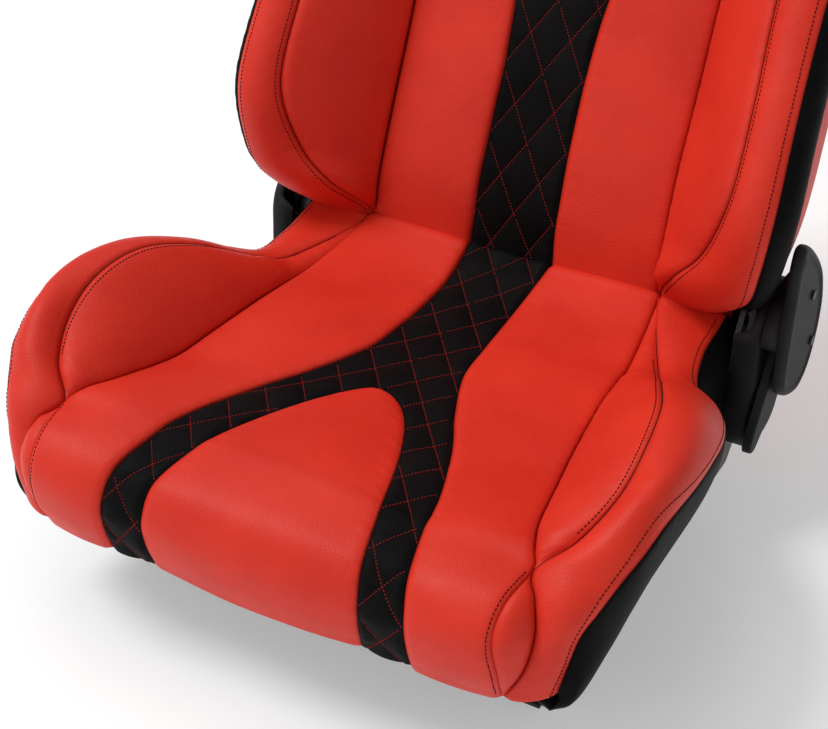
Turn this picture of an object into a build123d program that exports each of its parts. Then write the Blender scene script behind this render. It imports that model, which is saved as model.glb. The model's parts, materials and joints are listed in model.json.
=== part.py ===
from build123d import *

import os
from math import cos, pi, radians, sin

# Reclining racing seat on slide rails.
#
# Frame: millimetres, +Z up, the sitter faces -Y, and +X is the sitter's left.
# The origin is the centre of the four floor bolt holes, on the underside of the rails.
# Backrest parts are drawn upright about the recline pivot and then leaned back.

# Driving dimensions
PIVOT_Y, PIVOT_Z = 200.0, 185.0      # recline axis, parallel to X
LEAN = 23.75                         # backrest lean at rest, degrees from upright
RAIL_X = 180.0                       # rail centre line, half of the floor bolt spacing
FLOOR_HOLE_Y = 142.0                 # half of the floor bolt spacing, front to rear
FLOOR_HOLE_R = 4.25
RAIL_HALF_LENGTH = 158.0
UPPER_RAIL_HALF_LENGTH = 140.0
UPPER_RAIL_TOP = 28.0
FRAME_X = 197.0                      # inner face of the side frames
STEEL = 3.0                          # side frame sheet
CUSHION_BOTTOM = 107.0
CUSHION_FRONT = -270.0
ROLL_R = 30.6                        # rounded lower edge of the backrest, about the pivot
ROLL_GAP = 2.9                       # air between that roll and the seat cushion
BACK_REAR = -22.0                    # rear face of the back foam, pivot frame
BACK_HALF = 145.0                    # half width of the centre pad of the backrest
HOOP_X = 217.0                       # centre line of the back frame tube
HOOP_R = 12.0
HOOP_TOP = 690.0
BACK_TOP = 720.0
PANEL_Y = 24.0                       # front face of the rear panel, pivot frame
PANEL_T = 3.0
SLOT_X, SLOT_Z = 66.0, 535.0         # harness slot centre, pivot frame
SLOT_W, SLOT_H = 66.0, 38.0
TUBE_R = 11.0                        # seat cross tubes
TUBE_Z = 92.0
FRONT_TUBE_Y, REAR_TUBE_Y = -200.0, 130.0
WIRE_R = 1.6                         # sinuous spring wire
RECLINER_X = 221.0                   # inner face of the fixed recliner plate
RECLINER_T = 5.0
ARM_X, ARM_T = 229.0, 4.0            # moving recliner arm
BUSH_R, ROD_R, RUN = 11.0, 5.0, 0.06  # hinge bush, release rod, running clearance
SECTOR_TIP, SECTOR_ROOT, TEETH_STEP = 34.0, 31.0, 8.0
HINGE_BOSS_R = 24.0                  # rounded head of the fixed recliner plate
HOUSING_R = 39.0
HOUSING_X0, HOUSING_X1 = 227.0, 252.0
SHIELD_X, SHIELD_T = 267.0, 8.0
LEVER_X, LEVER_T = 254.0, 8.0
LEVER_TIP_Y, LEVER_TIP_Z = 136.0, 97.0
BAR_R = 5.0                          # slide release bar
BAR_PIVOT_Y, BAR_PIVOT_Z = -20.0, 42.0
BAR_X = 140.0
LATCH_X0, LATCH_X1 = 148.0, 152.0
STRIP_TOP = 20.0

# Base bolster: y, then (x, z) of crease foot, crease, crest, band top, edge seam, lower edge
BASE_BOLSTER = [
    (-245, [(217, 100), (217, 172), (222, 180), (236, 182), (250, 150), (250, 92)]),
    (-200, [(209, 107), (209, 192), (230, 204), (250, 210), (273, 198), (258, 84)]),
    (-150, [(195, 107), (195, 188), (248, 231), (264, 243), (282, 214), (260, 80)]),
    (-100, [(184, 107), (184, 181), (250, 247), (266, 251), (284, 213), (260, 80)]),
    (-40, [(176, 107), (176, 184), (236, 245), (262, 247), (282, 205), (260, 80)]),
    (10, [(171, 107), (171, 184), (214, 222), (246, 223), (274, 193), (257, 80)]),
    (55, [(168, 107), (168, 178), (196, 196), (222, 198), (246, 184), (243, 84)]),
    (80, [(167, 107), (167, 178), (190, 186), (206, 187), (219, 180), (217, 90)]),
]
# Waist of the seat base, between the bolster and the recliner
BASE_WAIST = [
    (82, [(167, 107), (167, 178), (190, 185), (206, 186), (213, 182), (213, 107)]),
    (176, [(154, 107), (154, 192), (190, 192), (206, 192), (213, 189), (213, 107)]),
]
# Back bolster, pivot frame: z, then (x, y) of rear, crease, crest, band front, edge seam, rear edge
BACK_BOLSTER = [
    (2, [(148, -24), (148, -30), (170, -30), (206, -30), (216, -28), (216, -24)]),
    (25, [(148, -24), (148, -36), (173, -82), (225, -97), (244, -91), (238, -24)]),
    (55, [(148, -24), (148, -40), (199, -104), (236, -121), (257, -116), (240, -24)]),
    (105, [(148, -24), (148, -42), (217, -127), (243, -141), (263, -134), (242, -24)]),
    (175, [(148, -24), (148, -42), (216, -124), (240, -136), (260, -130), (242, -24)]),
    (300, [(148, -24), (148, -42), (208, -104), (234, -116), (256, -110), (240, -24)]),
    (400, [(148, -24), (148, -42), (212, -98), (240, -110), (262, -104), (242, -24)]),
    (465, [(148, -24), (148, -42), (205, -88), (236, -99), (260, -94), (240, -24)]),
    (520, [(148, -24), (148, -42), (180, -66), (205, -74), (224, -70), (215, -24)]),
]


def save(name, shape):
    """Writes one node."""
    export_step(Compound(children=list(shape.solids())), f"parts/{name}.step")


def save_pair(name, right_part):
    """Writes a part of the sitter's left side (+X) and its mirror image."""
    save(f"{name}_left", right_part)
    save(f"{name}_right", mirror(right_part, about=Plane.YZ))


def save_both(name, right_part):
    """Writes a small part and its mirror image as one node of separate solids."""
    save(name, both_sides(right_part))


def both_sides(part):
    """A part of the sitter's left side with its mirror image."""
    return Compound(children=[*part.solids(), *mirror(part, about=Plane.YZ).solids()])


def lean_back(shape):
    """Moves a backrest part from its upright drawing position to the rest position."""
    return Pos(0, PIVOT_Y, PIVOT_Z) * Rot(-LEAN, 0, 0) * shape


def x_cylinder(radius, x0, x1, y, z):
    """A round bar along X."""
    return Pos((x0 + x1) / 2, y, z) * Rot(0, 90, 0) * Cylinder(radius, x1 - x0)


def z_cylinder(radius, x, y, z0, z1):
    """A round bar along Z."""
    return Pos(x, y, (z0 + z1) / 2) * Cylinder(radius, z1 - z0)


def block(x0, x1, y0, y1, z0, z1):
    """A rectangular block between two corners."""
    return Pos((x0 + x1) / 2, (y0 + y1) / 2, (z0 + z1) / 2) * Box(x1 - x0, y1 - y0, z1 - z0)


def plate(outline, x0, x1, radius=0.0):
    """A flat plate square to X from an outline of (y, z) corners."""
    face = make_face(Polyline([(x0, y, z) for y, z in outline], close=True))
    solid = extrude(face, amount=x1 - x0, dir=(1, 0, 0))
    return fillet(solid.edges().filter_by(Axis.X), radius) if radius else solid


def panel(outline, y0, y1, radius=0.0):
    """A flat panel square to Y from an outline of (x, z) corners."""
    face = make_face(Polyline([(x, y0, z) for x, z in outline], close=True))
    solid = extrude(face, amount=y1 - y0, dir=(0, 1, 0))
    return fillet(solid.edges().filter_by(Axis.Y), radius) if radius else solid


def lofted(wires):
    """A closed solid through polygons with equal numbers of corners."""
    rings = [Wire.make_polygon([Vector(*point) for point in wire], close=True) for wire in wires]
    return Solid.make_loft(rings, ruled=True)


def mirrored_outline(right_half):
    """Closes an outline of (x, z) points by mirroring its right half."""
    return right_half + [(-x, z) for x, z in reversed(right_half)]


def on_circle(radius, angle):
    """A (y, z) point about the pivot at an angle in degrees from +Y towards +Z."""
    return (PIVOT_Y + radius * cos(radians(angle)), PIVOT_Z + radius * sin(radians(angle)))


# Slide rails

def lower_rail():
    """Floor channel with lips that hold the upper rail down, and two floor bolt holes."""
    half_w, height, sheet, lip = 23.0, 16.0, 2.5, 12.0
    x0, x1 = RAIL_X - half_w, RAIL_X + half_w
    y0, y1 = -RAIL_HALF_LENGTH, RAIL_HALF_LENGTH
    rail = block(x0, x1, y0, y1, 0, height)
    rail -= block(x0 + sheet, x1 - sheet, y0, y1, sheet, height - sheet)
    rail -= block(x0 + lip, x1 - lip, y0, y1, height - sheet, height)
    for y in (-FLOOR_HOLE_Y, FLOOR_HOLE_Y):
        rail -= z_cylinder(FLOOR_HOLE_R, RAIL_X, y, -1, sheet + 1)
    return rail


def upper_rail():
    """Hat-shaped runner inside the channel."""
    half_hat, half_wing, foot, sheet = 9.0, 18.0, 4.6, 2.5
    y0, y1 = -UPPER_RAIL_HALF_LENGTH, UPPER_RAIL_HALF_LENGTH
    rail = block(RAIL_X - half_hat, RAIL_X + half_hat, y0, y1, foot, UPPER_RAIL_TOP)
    half_inside = half_hat - sheet
    rail -= block(RAIL_X - half_inside, RAIL_X + half_inside, y0, y1, foot, UPPER_RAIL_TOP - sheet)
    for side in (-1, 1):
        inner, outer = sorted((RAIL_X + side * (half_hat - 0.5), RAIL_X + side * half_wing))
        rail += block(inner, outer, y0, y1, foot, foot + sheet)
    for y in RAIL_BOLT_Y:
        rail -= z_cylinder(4.05, RAIL_X, y, UPPER_RAIL_TOP - 5, UPPER_RAIL_TOP + 1)
    return rail


RAIL_BOLT_Y = (-120.0, 110.0)


def slide_balls():
    """Bearing balls between the runner's wings and the channel's lips."""
    radius, z = 3.15, 10.3
    balls = []
    for x in (-RAIL_X, RAIL_X):
        for side in (-1, 1):
            for y in (-45.0, -35.0, 35.0, 45.0):
                balls.append(Pos(x + side * 14.5, y, z) * Sphere(radius))
    return Compound(children=balls)


def rail_end_caps():
    """Plastic plugs in the ends of the channels, below the runners' path."""
    caps = []
    for x in (-RAIL_X, RAIL_X):
        for side in (-1, 1):
            y0, y1 = sorted((side * RAIL_HALF_LENGTH, side * (RAIL_HALF_LENGTH + 4)))
            caps.append(block(x - 21, x + 21, y0, y1, 0.5, 4.2))
    return Compound(children=caps)


def lock_strip():
    """Toothed strip on the inner wall of a channel."""
    pitch, gap, half_length = 14.0, 7.0, 126.0
    x0, x1 = LATCH_X0 - 0.5, RAIL_X - 23.0
    strip = block(x0, x1, -half_length, half_length, 2, STRIP_TOP)
    count = int(2 * half_length / pitch)
    for i in range(count):
        y = -half_length + pitch * (i + 0.5)
        strip -= block(x0 - 1, LATCH_X1 + 1, y - gap / 2, y + gap / 2, 11, STRIP_TOP + 1)
    return strip


# Seat base structure

def side_frame():
    """Pressed side plate with a foot flange on the upper rail."""
    outline = [(-150, UPPER_RAIL_TOP), (-215, 80), (-215, 104), (-182, 104), (-168, 88), (84, 88), (92, 104),
               (152, 104), (152, UPPER_RAIL_TOP)]
    frame = plate(outline, FRAME_X, FRAME_X + STEEL)
    frame += block(RAIL_X - 17, FRAME_X + 1, -140, 140, UPPER_RAIL_TOP, UPPER_RAIL_TOP + STEEL)
    for y in (-110.0, -30.0, 40.0):
        frame -= x_cylinder(16, FRAME_X - 1, FRAME_X + STEEL + 1, y, 60)
    for y in RAIL_BOLT_Y:
        frame -= z_cylinder(4.05, RAIL_X, y, UPPER_RAIL_TOP - 1, UPPER_RAIL_TOP + STEEL + 1)
    for y, z in PLATE_BOLTS:
        frame -= x_cylinder(4.05, FRAME_X - 1, FRAME_X + STEEL + 1, y, z)
    return frame


PLATE_BOLTS = ((114.0, 52.0), (128.0, 74.0))


def cross_tube(y):
    """Round tube between the side frames."""
    wall = 2.0
    tube = x_cylinder(TUBE_R, -FRAME_X, FRAME_X, y, TUBE_Z)
    return tube - x_cylinder(TUBE_R - wall, -FRAME_X, FRAME_X, y, TUBE_Z)


def rail_bolts():
    """Bolts that hold the side frames to the upper rails."""
    seat_z = UPPER_RAIL_TOP + STEEL
    bolts = []
    for x in (-RAIL_X, RAIL_X):
        for y in RAIL_BOLT_Y:
            head = Pos(x, y, seat_z) * extrude(RegularPolygon(6.5, 6), amount=5.5)
            bolts.append(head + z_cylinder(4.0, x, y, 18, seat_z + 1))
    return Compound(children=bolts)


def sinuous_wire(length, waves, swing):
    """Zigzag spring wire along +X in the XY plane, starting at the origin."""
    steps = waves * 4
    points = [(0, 0, 0)]
    for i in range(steps):
        share = (i + 0.5) / steps
        points.append((length * share, swing * sin(2 * pi * waves * share), 0))
    points.append((length, 0, 0))
    path = Spline(points)
    return sweep(Plane(path @ 0, z_dir=path % 0) * Circle(WIRE_R), path=path)


def seat_springs():
    """Zigzag springs from the front tube to the rear tube, just under the cushion."""
    z = TUBE_Z + TUBE_R + WIRE_R + 0.4
    wire = sinuous_wire(REAR_TUBE_Y - FRONT_TUBE_Y + 8, 6, 20.0)
    start_y = FRONT_TUBE_Y - 4
    return Compound(children=[Pos(x, start_y, z) * Rot(0, 0, 90) * wire for x in SPRING_X])


SPRING_X = (-120.0, -40.0, 40.0, 120.0)


def spring_clips():
    """Clips that hold the spring ends on the tubes."""
    z0 = TUBE_Z + TUBE_R
    hole_z = z0 + WIRE_R + 0.4
    clips = []
    for y in (FRONT_TUBE_Y, REAR_TUBE_Y):
        for x in SPRING_X:
            body = block(x - 22, x + 22, y - 3, y + 3, z0, CUSHION_BOTTOM - 0.2)
            clips.append(body - block(x - 19, x + 19, y - 4, y + 4, z0 + 0.2, hole_z + WIRE_R + 0.1))
    return Compound(children=clips)


def release_brackets():
    """Small brackets on the side frame flanges that carry the release bar's pins."""
    x0, z0 = RAIL_X - 17, UPPER_RAIL_TOP + STEEL
    bracket = block(x0, x0 + STEEL, -38, -2, z0, 56) + block(x0, RAIL_X - 4, -38, -2, z0, z0 + STEEL)
    return bracket - x_cylinder(4.0, x0 - 1, x0 + STEEL + 1, BAR_PIVOT_Y, BAR_PIVOT_Z)


def release_pin():
    """Pin for the release bar, fixed in its bracket."""
    return x_cylinder(4.0, LATCH_X0 - 2, RAIL_X - 10, BAR_PIVOT_Y, BAR_PIVOT_Z)


def release_bar():
    """U-shaped bar under the cushion front that frees both slides."""
    front_y, front_z = -186.0, 50.0
    corner = [(-BAR_X, BAR_PIVOT_Y + 12, BAR_PIVOT_Z), (-BAR_X, front_y, front_z),
              (BAR_X, front_y, front_z), (BAR_X, BAR_PIVOT_Y + 12, BAR_PIVOT_Z)]
    path = FilletPolyline(*corner, radius=28)
    return sweep(Plane(path @ 0, z_dir=path % 0) * Circle(BAR_R), path=path)


def slide_latch():
    """Latch plate: turns on the pin, is gripped by the bar, and has fingers over the strip."""
    top, foot = 52.0, STRIP_TOP + 0.4
    outline = [(-6, 34), (-6, top), (-104, top - 6), (-104, 30), (-34, 30)]
    latch = plate(outline, LATCH_X0, LATCH_X1, 4)
    for i in range(3):
        y = -98 + 14 * i
        latch += block(LATCH_X0, LATCH_X1, y, y + 6, foot, 34)
    latch += block(BAR_X + BAR_R, LATCH_X0, -70, -50, 38, 50)
    return latch - x_cylinder(4.0 + RUN, LATCH_X0 - 1, LATCH_X1 + 1, BAR_PIVOT_Y, BAR_PIVOT_Z)


# Seat base upholstery

def pivot_clearance():
    """The space the backrest's lower roll turns in."""
    return x_cylinder(ROLL_R + ROLL_GAP, -219, 219, PIVOT_Y, PIVOT_Z)


def base_pad():
    """Centre cushion: dished on top, rounded at the front, narrower at the rear."""
    profile = [(176, CUSHION_BOTTOM), (176, 196), (104, 180), (40, 178), (-40, 181), (-155, 187), (-225, 187),
               (-252, 176), (CUSHION_FRONT + 3, 160), (CUSHION_FRONT, 140), (-262, 100), (-228, 100),
               (-226, CUSHION_BOTTOM)]
    plan = [(150, 180), (165, 71), (174, -40), (182, -100), (193, -150), (206, -200), (210, -216),
            (210, -275)]
    cushion = plate(profile, -230, 230)
    outline = make_face(Polyline([(x, y, 50) for x, y in mirrored_outline(plan)], close=True))
    return (cushion & extrude(outline, amount=200, dir=(0, 0, 1))) - pivot_clearance()


def base_bolster():
    """Side bolster of the seat base."""
    return lofted([[(x, y, z) for x, z in section] for y, section in BASE_BOLSTER])


def base_waist():
    """Narrow rear part of the seat base, beside the recliner."""
    waist = lofted([[(x, y, z) for x, z in section] for y, section in BASE_WAIST])
    return waist - pivot_clearance()


def base_side_panel():
    """Thin side cover below the bolster's edge seam."""
    inner, outer = 1.0, 3.5
    wires = []
    for y, section in BASE_BOLSTER:
        (edge_x, edge_z), (foot_x, foot_z) = section[4], section[5]
        wires.append([(edge_x + inner, y, edge_z), (edge_x + outer, y, edge_z),
                      (foot_x + outer, y, foot_z), (foot_x + inner, y, foot_z)])
    return lofted(wires)


def waist_side_panel():
    """Thin black cover beside the waist."""
    outline = [(83, 90), (83, 178), (120, 184), (165, 188), (190, 188), (190, 96)]
    return plate(outline, 214.5, 217.5) - pivot_clearance()


# Recliner

def recliner_plate():
    """Fixed recliner plate bolted to the side frame through a spacer."""
    outline = [(100, 36), (100, 84)] + [on_circle(HINGE_BOSS_R, angle) for angle in range(170, -1, -34)]
    outline += [(226, 120), (200, 60), (176, 36)]
    fixed = plate(outline, RECLINER_X, RECLINER_X + RECLINER_T, 6)
    fixed -= x_cylinder(BUSH_R, RECLINER_X - 1, RECLINER_X + RECLINER_T + 1, PIVOT_Y, PIVOT_Z)
    fixed -= x_cylinder(4.0, RECLINER_X - 1, RECLINER_X + RECLINER_T + 1, *PAWL_PIN)
    for y, z in PLATE_BOLTS:
        fixed -= x_cylinder(4.05, RECLINER_X - 1, RECLINER_X + RECLINER_T + 1, y, z)
    return fixed


PAWL_PIN = (170.0, 138.0)


def recliner_spacer():
    """Block between the side frame and the recliner plate."""
    spacer = block(FRAME_X + STEEL, RECLINER_X, 104, 150, 42, 82)
    for y, z in PLATE_BOLTS:
        spacer -= x_cylinder(4.05, FRAME_X, RECLINER_X + 1, y, z)
    return spacer


def plate_bolts():
    """Bolts through recliner plate, spacer and side frame."""
    bolts = []
    head_x = RECLINER_X + RECLINER_T
    for y, z in PLATE_BOLTS:
        head = Pos(head_x, y, z) * Rot(0, 90, 0) * extrude(RegularPolygon(6.5, 6), amount=2.6)
        bolts.append(head + x_cylinder(4.0, FRAME_X - 8, head_x + 1, y, z))
    return Compound(children=bolts)


def hinge_bush():
    """Hollow hinge bush with an inner flange, fixed in the recliner plate."""
    bush = x_cylinder(BUSH_R, RECLINER_X - 3, 234, PIVOT_Y, PIVOT_Z)
    bush += x_cylinder(15, RECLINER_X - 3, RECLINER_X, PIVOT_Y, PIVOT_Z)
    return bush - x_cylinder(ROD_R + RUN, 200, 240, PIVOT_Y, PIVOT_Z)


def bush_ring():
    """Ring on the outer end of a bush that keeps the arm on."""
    ring = x_cylinder(15, ARM_X + ARM_T + 0.1, 234.3, PIVOT_Y, PIVOT_Z)
    ring -= x_cylinder(BUSH_R, 230, 236, PIVOT_Y, PIVOT_Z)
    return ring


def pawl_pin():
    """Fixed pin a locking pawl turns on."""
    return x_cylinder(4.0, RECLINER_X - 1, ARM_X + ARM_T + 0.5, *PAWL_PIN)


def pawl():
    """Locking pawl, its nose just under the sector teeth."""
    y0, z0 = PAWL_PIN
    nose = PIVOT_Z - SECTOR_TIP - 0.6
    outline = [(y0 - 8, z0 - 8), (y0 - 8, z0 + 7), (192, z0 + 7), (194, nose), (206, nose), (212, z0 + 4),
               (212, z0 - 8)]
    bar = plate(outline, ARM_X, ARM_X + ARM_T)
    return bar - x_cylinder(4.0 + RUN, ARM_X - 1, ARM_X + ARM_T + 1, y0, z0)


def clock_spring():
    """Flat spiral spring that brings the backrest forward."""
    turns, inner_r, pitch, strip, steps = 3, 18.5, 4.6, 1.2, 20
    inner, outer = [], []
    for i in range(turns * steps + 1):
        radius = inner_r + pitch * i / steps
        angle = 360.0 * i / steps
        inner.append(on_circle(radius, angle))
        outer.append(on_circle(radius + strip, angle))
    return plate(inner + outer[::-1], 241.5, 247.5)


def smooth_plate(outline, x0, x1):
    """A flat plate square to X with a smooth closed outline through (y, z) points."""
    face = make_face(Spline([(x0, y, z) for y, z in outline], periodic=True))
    return extrude(face, amount=x1 - x0, dir=(1, 0, 0))


def housing_outline(inset):
    """Outline of the recliner housing: round about the pivot, with a nose forwards and down."""
    upper = [on_circle(HOUSING_R - inset, angle) for angle in range(-20, 201, 20)]
    nose = [(151 + inset, 138), (142 + inset, 112), (144 + inset, 88 + inset), (162, 71 + inset),
            (200, 66 + inset), (226 - inset, 82 + inset), (236 - inset, 125)]
    return upper + nose


def recliner_housing(has_lever):
    """Moulded housing over the recliner, open towards the seat and shallower above its nose."""
    wall, edge_r = 2.5, 5.0
    shell = smooth_plate(housing_outline(0), HOUSING_X0, HOUSING_X1)
    shell = fillet(shell.faces().sort_by(Axis.X)[-1].edges(), edge_r)
    shell -= smooth_plate(housing_outline(wall), HOUSING_X0 - 1, HOUSING_X1 - wall)
    shell -= block(HOUSING_X0 - 1, HOUSING_X0 + 13, 100, 260, 135, 240)
    if has_lever:
        bridge = [on_circle(44, angle) for angle in (50, 76, 102, 128, 154)]
        bridge += [on_circle(24, angle) for angle in (154, 128, 102, 76, 50)]
        shell += plate(bridge, HOUSING_X1 - wall, SHIELD_X)
        shell -= x_cylinder(15.5, HOUSING_X1 - 5, HOUSING_X1 + 1, PIVOT_Y, PIVOT_Z)
        for y, z in STANDOFFS:
            shell += x_cylinder(5, HOUSING_X1 - wall, SHIELD_X, y, z)
            shell -= x_cylinder(2.05, HOUSING_X1 - wall - 1, SHIELD_X + 1, y, z)
    return shell


STANDOFFS = ((206.0, 216.0), (222.0, 160.0))


def recliner_shield():
    """Tall rounded outer shield on stand-offs, leaving a slot for the lever."""
    outline = [(149, 152), (165, 133), (190, 121), (210, 122), (227, 134), (238, 155), (243, 180),
               (241, 203), (228, 233), (204, 259), (178, 279), (161, 283), (153, 266), (151, 235), (148, 195)]
    shield = smooth_plate(outline, SHIELD_X, SHIELD_X + SHIELD_T)
    shield = fillet(shield.faces().sort_by(Axis.X)[-1].edges(), 5)
    for y, z in STANDOFFS:
        shield -= x_cylinder(2.05, SHIELD_X - 1, SHIELD_X + SHIELD_T + 1, y, z)
    return shield


def shield_screws():
    """Round-head screws through the shield into the stand-offs."""
    face = SHIELD_X + SHIELD_T
    screws = []
    for y, z in STANDOFFS:
        screws.append(x_cylinder(2.0, face - 20, face, y, z) + x_cylinder(4.5, face, face + 2.2, y, z))
    return Compound(children=screws)


# Recline lever

def release_rod():
    """Rod on the recline axis that joins both recliners to the lever."""
    return x_cylinder(ROD_R, -240, LEVER_X + LEVER_T, PIVOT_Y, PIVOT_Z)


def release_cam():
    """Cam on the rod that pushes the pawl away."""
    outline = [(PIVOT_Y - 9, PIVOT_Z + 8), (PIVOT_Y + 9, PIVOT_Z + 8), (PIVOT_Y + 10, PIVOT_Z - 8),
               (PIVOT_Y + 4, PIVOT_Z - 26), (PIVOT_Y - 4, PIVOT_Z - 26), (PIVOT_Y - 10, PIVOT_Z - 8)]
    cam = plate(outline, 235, 238.5, 3)
    return cam - x_cylinder(ROD_R, 234, 240, PIVOT_Y, PIVOT_Z)


def recline_lever():
    """Flat fan-shaped paddle on a round hub."""
    hub, heel = (17.0, PIVOT_Y, PIVOT_Z), (22.0, 190.0, 140.0)
    tip = (11.0, LEVER_TIP_Y, LEVER_TIP_Z)
    rims = [Pos(LEVER_X, y, z) * Rot(0, 90, 0) * Circle(radius) for radius, y, z in (hub, heel, tip)]
    flat = Plane(origin=(LEVER_X, 0, 0), x_dir=(0, 1, 0), z_dir=(1, 0, 0))
    rim_edges = [edge for rim in rims for edge in flat.to_local_coords(rim).edges()]
    lever = extrude(flat * make_hull(rim_edges), amount=LEVER_T, dir=(1, 0, 0))
    lever = fillet(lever.faces().sort_by(Axis.X)[-1].edges(), 2.5)
    lever += x_cylinder(14, 239, LEVER_X + 1, PIVOT_Y, PIVOT_Z)
    return lever - x_cylinder(ROD_R, 230, 280, PIVOT_Y, PIVOT_Z)


def lever_screw():
    """Cap screw that keeps the lever on the rod."""
    x0 = LEVER_X + LEVER_T
    return x_cylinder(8, x0, x0 + 3.2, PIVOT_Y, PIVOT_Z)


# Backrest, drawn upright with the pivot at the origin

def back_arm():
    """Moving recliner arm with a toothed sector round the bush."""
    first, last = -132.0, -28.0
    outline = [(-15, 180), (15, 180), (16, 60)]
    outline += [(SECTOR_TIP * cos(radians(a)), SECTOR_TIP * sin(radians(a))) for a in (28, 0, last)]
    angle = last
    while angle > first:
        for radius, share in ((SECTOR_ROOT, 0.25), (SECTOR_ROOT, 0.5), (SECTOR_TIP, 0.75), (SECTOR_TIP, 1.0)):
            turn = radians(angle - TEETH_STEP * share)
            outline.append((radius * cos(turn), radius * sin(turn)))
        angle -= TEETH_STEP
    outline += [(-18, -8), (-18, 12), (-16, 60)]
    arm = plate(outline, ARM_X, ARM_X + ARM_T)
    return arm - x_cylinder(BUSH_R + RUN, ARM_X - 1, ARM_X + ARM_T + 1, 0, 0)


def back_hoop():
    """Bent tube round the backrest."""
    right = [(HOOP_X, 44), (HOOP_X, 430), (122, 545), (104, HOOP_TOP - 12)]
    path = FilletPolyline(*[(x, 0, z) for x, z in right + [(-x, z) for x, z in reversed(right)]], radius=44)
    return sweep(Plane(path @ 0, z_dir=path % 0) * Circle(HOOP_R), path=path)


def back_cross_tube(z):
    """Straight tube between the hoop's legs."""
    half = HOOP_X - HOOP_R - 0.3
    return x_cylinder(9, -half, half, 0, z)


def lumbar_springs():
    """Zigzag wires across the backrest, behind the pad."""
    half = HOOP_X - 5
    wire = sinuous_wire(2 * half, 6, 14.0)
    return Compound(children=[Pos(-half, -16, z) * Rot(90, 0, 0) * wire for z in LUMBAR_Z])


LUMBAR_Z = (130.0, 190.0, 250.0, 310.0)


def lumbar_clips():
    """Clips that hold the wires to the hoop's legs."""
    clips = []
    for z in LUMBAR_Z:
        for x in (-HOOP_X, HOOP_X):
            clip = block(x - 8, x + 8, -18.4, -HOOP_R, z - 13, z + 13)
            clips.append(clip - block(x - 9, x + 9, -18, -13.6, z - 11, z + 11))
    return Compound(children=clips)


def back_pad():
    """Centre pad with a rounded lower edge that turns inside the seat cushion's rear."""
    roll = [(ROLL_R * cos(radians(a)), ROLL_R * sin(radians(a))) for a in range(-105, -181, -15)]
    front = [(-44, 55), (-46, 105), (-42, 300), (-42, 470)]
    profile = roll + front + [(BACK_REAR, 470), (BACK_REAR, 16), (-9, 10)]
    return plate(profile, -BACK_HALF, BACK_HALF)


def back_bolster():
    """Side bolster of the backrest, from the waist to the shoulder."""
    return lofted([[(x, y, z) for x, y in section] for z, section in BACK_BOLSTER])


def head_outline(grow):
    """Right half of the head part's outline."""
    return [(BACK_HALF, 472 - grow), (BACK_HALF + grow, 520), (138 + grow, 610), (128 + grow, 680),
            (96 + grow, BACK_TOP - 8 + grow), (50, BACK_TOP + grow)]


def harness_slots(width, height):
    """Two through holes for shoulder belts."""
    slot = extrude(SlotOverall(width, height), amount=200, both=True)
    upright = Rot(90, 0, 0) * slot
    return [Pos(x, 0, SLOT_Z) * upright for x in (-SLOT_X, SLOT_X)]


def head_pad():
    """Integral head rest with two harness slots."""
    side = [(BACK_REAR, 472), (-42, 472), (-40, 545), (-60, 610), (-66, 660), (-58, 705), (-40, BACK_TOP),
            (BACK_REAR, BACK_TOP)]
    pad = plate(side, -170, 170) & panel(mirrored_outline(head_outline(0)), -80, 0)
    for slot in harness_slots(SLOT_W, SLOT_H):
        pad -= slot
    return pad


def harness_bezel():
    """Moulded ring that lines a harness slot from front to rear."""
    ring = extrude(SlotOverall(SLOT_W - 1, SLOT_H - 1), amount=67)
    ring += extrude(SlotOverall(SLOT_W + 16, SLOT_H + 16), amount=4)
    ring -= extrude(SlotOverall(SLOT_W - 9, SLOT_H - 9), amount=67)
    # The flange lies in front of the pad and the sleeve runs back to the rear panel
    return Pos(SLOT_X, -53, SLOT_Z) * Rot(-90, 0, 0) * ring


def rear_panel():
    """Rear cover of the backrest."""
    right = [(196, 50), (226, 96), (234, 160), (234, 300), (238, 400), (232, 470), (196, 530), (150, 575),
             (138, 640), (126, 690), (90, BACK_TOP - 4), (50, BACK_TOP)]
    cover = panel(mirrored_outline(right), PANEL_Y, PANEL_Y + PANEL_T)
    for slot in harness_slots(SLOT_W, SLOT_H):
        cover -= slot
    return cover


def back_side_band():
    """Black gusset from the bolster's edge seam to the rear panel."""
    inner, outer = 1.0, 3.5
    wires = []
    for z, section in BACK_BOLSTER[2:]:
        (edge_x, edge_y), (rear_x, _) = section[4], section[5]
        wires.append([(edge_x + inner, edge_y, z), (edge_x + outer, edge_y, z),
                      (rear_x + outer, PANEL_Y, z), (rear_x + inner, PANEL_Y, z)])
    return lofted(wires)


def write_floor_rails():
    save_pair("lower_rail", lower_rail())
    save_both("lock_strips", lock_strip())
    save("slide_balls", slide_balls())
    save("rail_end_caps", rail_end_caps())


def write_seat_base():
    save_pair("upper_rail", upper_rail())
    save_pair("side_frame", side_frame())
    save("front_cross_tube", cross_tube(FRONT_TUBE_Y))
    save("rear_cross_tube", cross_tube(REAR_TUBE_Y))
    save("rail_bolts", rail_bolts())
    save("seat_springs", seat_springs())
    save("seat_spring_clips", spring_clips())
    save_both("release_brackets", release_brackets())
    save_both("release_pins", release_pin())
    save("base_pad", base_pad())
    save_pair("base_bolster", base_bolster())
    save_pair("base_waist", base_waist())
    save_pair("base_side_panel", base_side_panel())
    save_both("waist_side_panels", waist_side_panel())


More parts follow.
